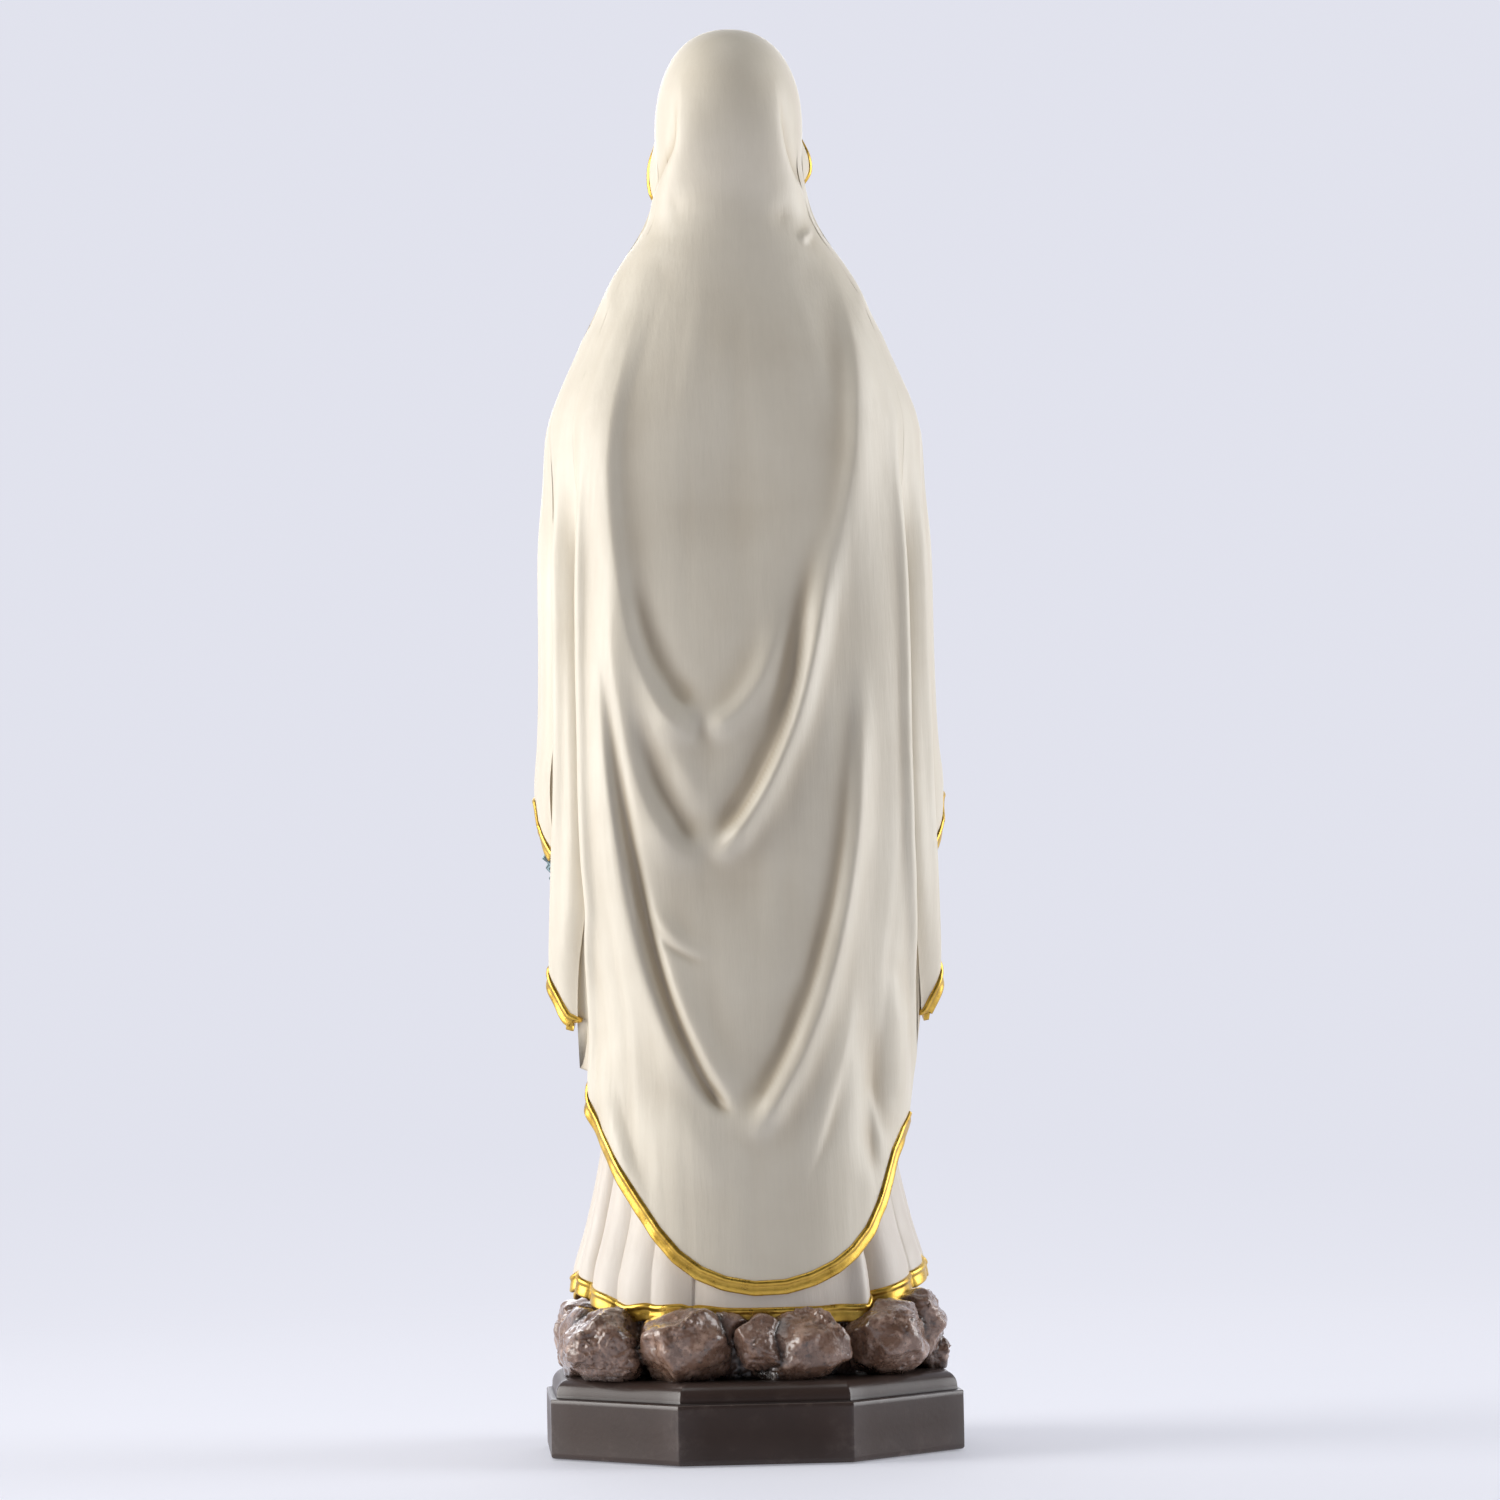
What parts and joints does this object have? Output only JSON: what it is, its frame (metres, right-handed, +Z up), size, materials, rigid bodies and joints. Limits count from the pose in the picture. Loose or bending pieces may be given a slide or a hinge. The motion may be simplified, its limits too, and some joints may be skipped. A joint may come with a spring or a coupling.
{
  "type": "madonna statue",
  "caption": "Painted cast-resin figure of a praying woman in a hooded mantle with gilt borders, standing on rocks on a moulded octagonal plinth.",
  "frame": {"origin": "centre of the flat resting face under the octagonal plinth", "axes": "+Z up along the figure, -Y the way the figure faces, +X towards the figure's left hand"},
  "size_m": [0.0906, 0.0901, 0.316],
  "materials": {
    "felt": "dark green woven felt",
    "plinth_paint": "dark brown satin paint",
    "rock_paint": "brown and mauve brushed paint, satin varnish",
    "cream_paint": "cream paint with olive shading in the folds, satin varnish",
    "gown_paint": "warm white paint, satin varnish",
    "gilt": "gold paint, antique wash",
    "skin_paint": "flesh paint, matt",
    "hair_paint": "brown paint, satin",
    "sash_paint": "pale blue paint, satin varnish",
    "rose_paint": "old gold paint on the petals"
  },
  "bodies": {
    "root": {"felt_pad": "felt", "plinth": "plinth_paint", "rock_ground": "rock_paint", "gown": "gown_paint", "gown_hem": "gilt", "mantle": "cream_paint", "mantle_border": "gilt", "head": "skin_paint", "hair": "hair_paint", "collar": "gilt", "left_sleeve": "gown_paint", "right_sleeve": "gown_paint", "left_cuff": "gilt", "right_cuff": "gilt", "left_hand": "skin_paint", "right_hand": "skin_paint", "sash_band": "sash_paint", "sash_knot": "sash_paint", "sash_tail_straight": "sash_paint", "sash_tail_swung": "sash_paint", "left_foot": "skin_paint", "right_foot": "skin_paint", "left_rose": "rose_paint", "right_rose": "rose_paint"}
  },
  "joints": []
}
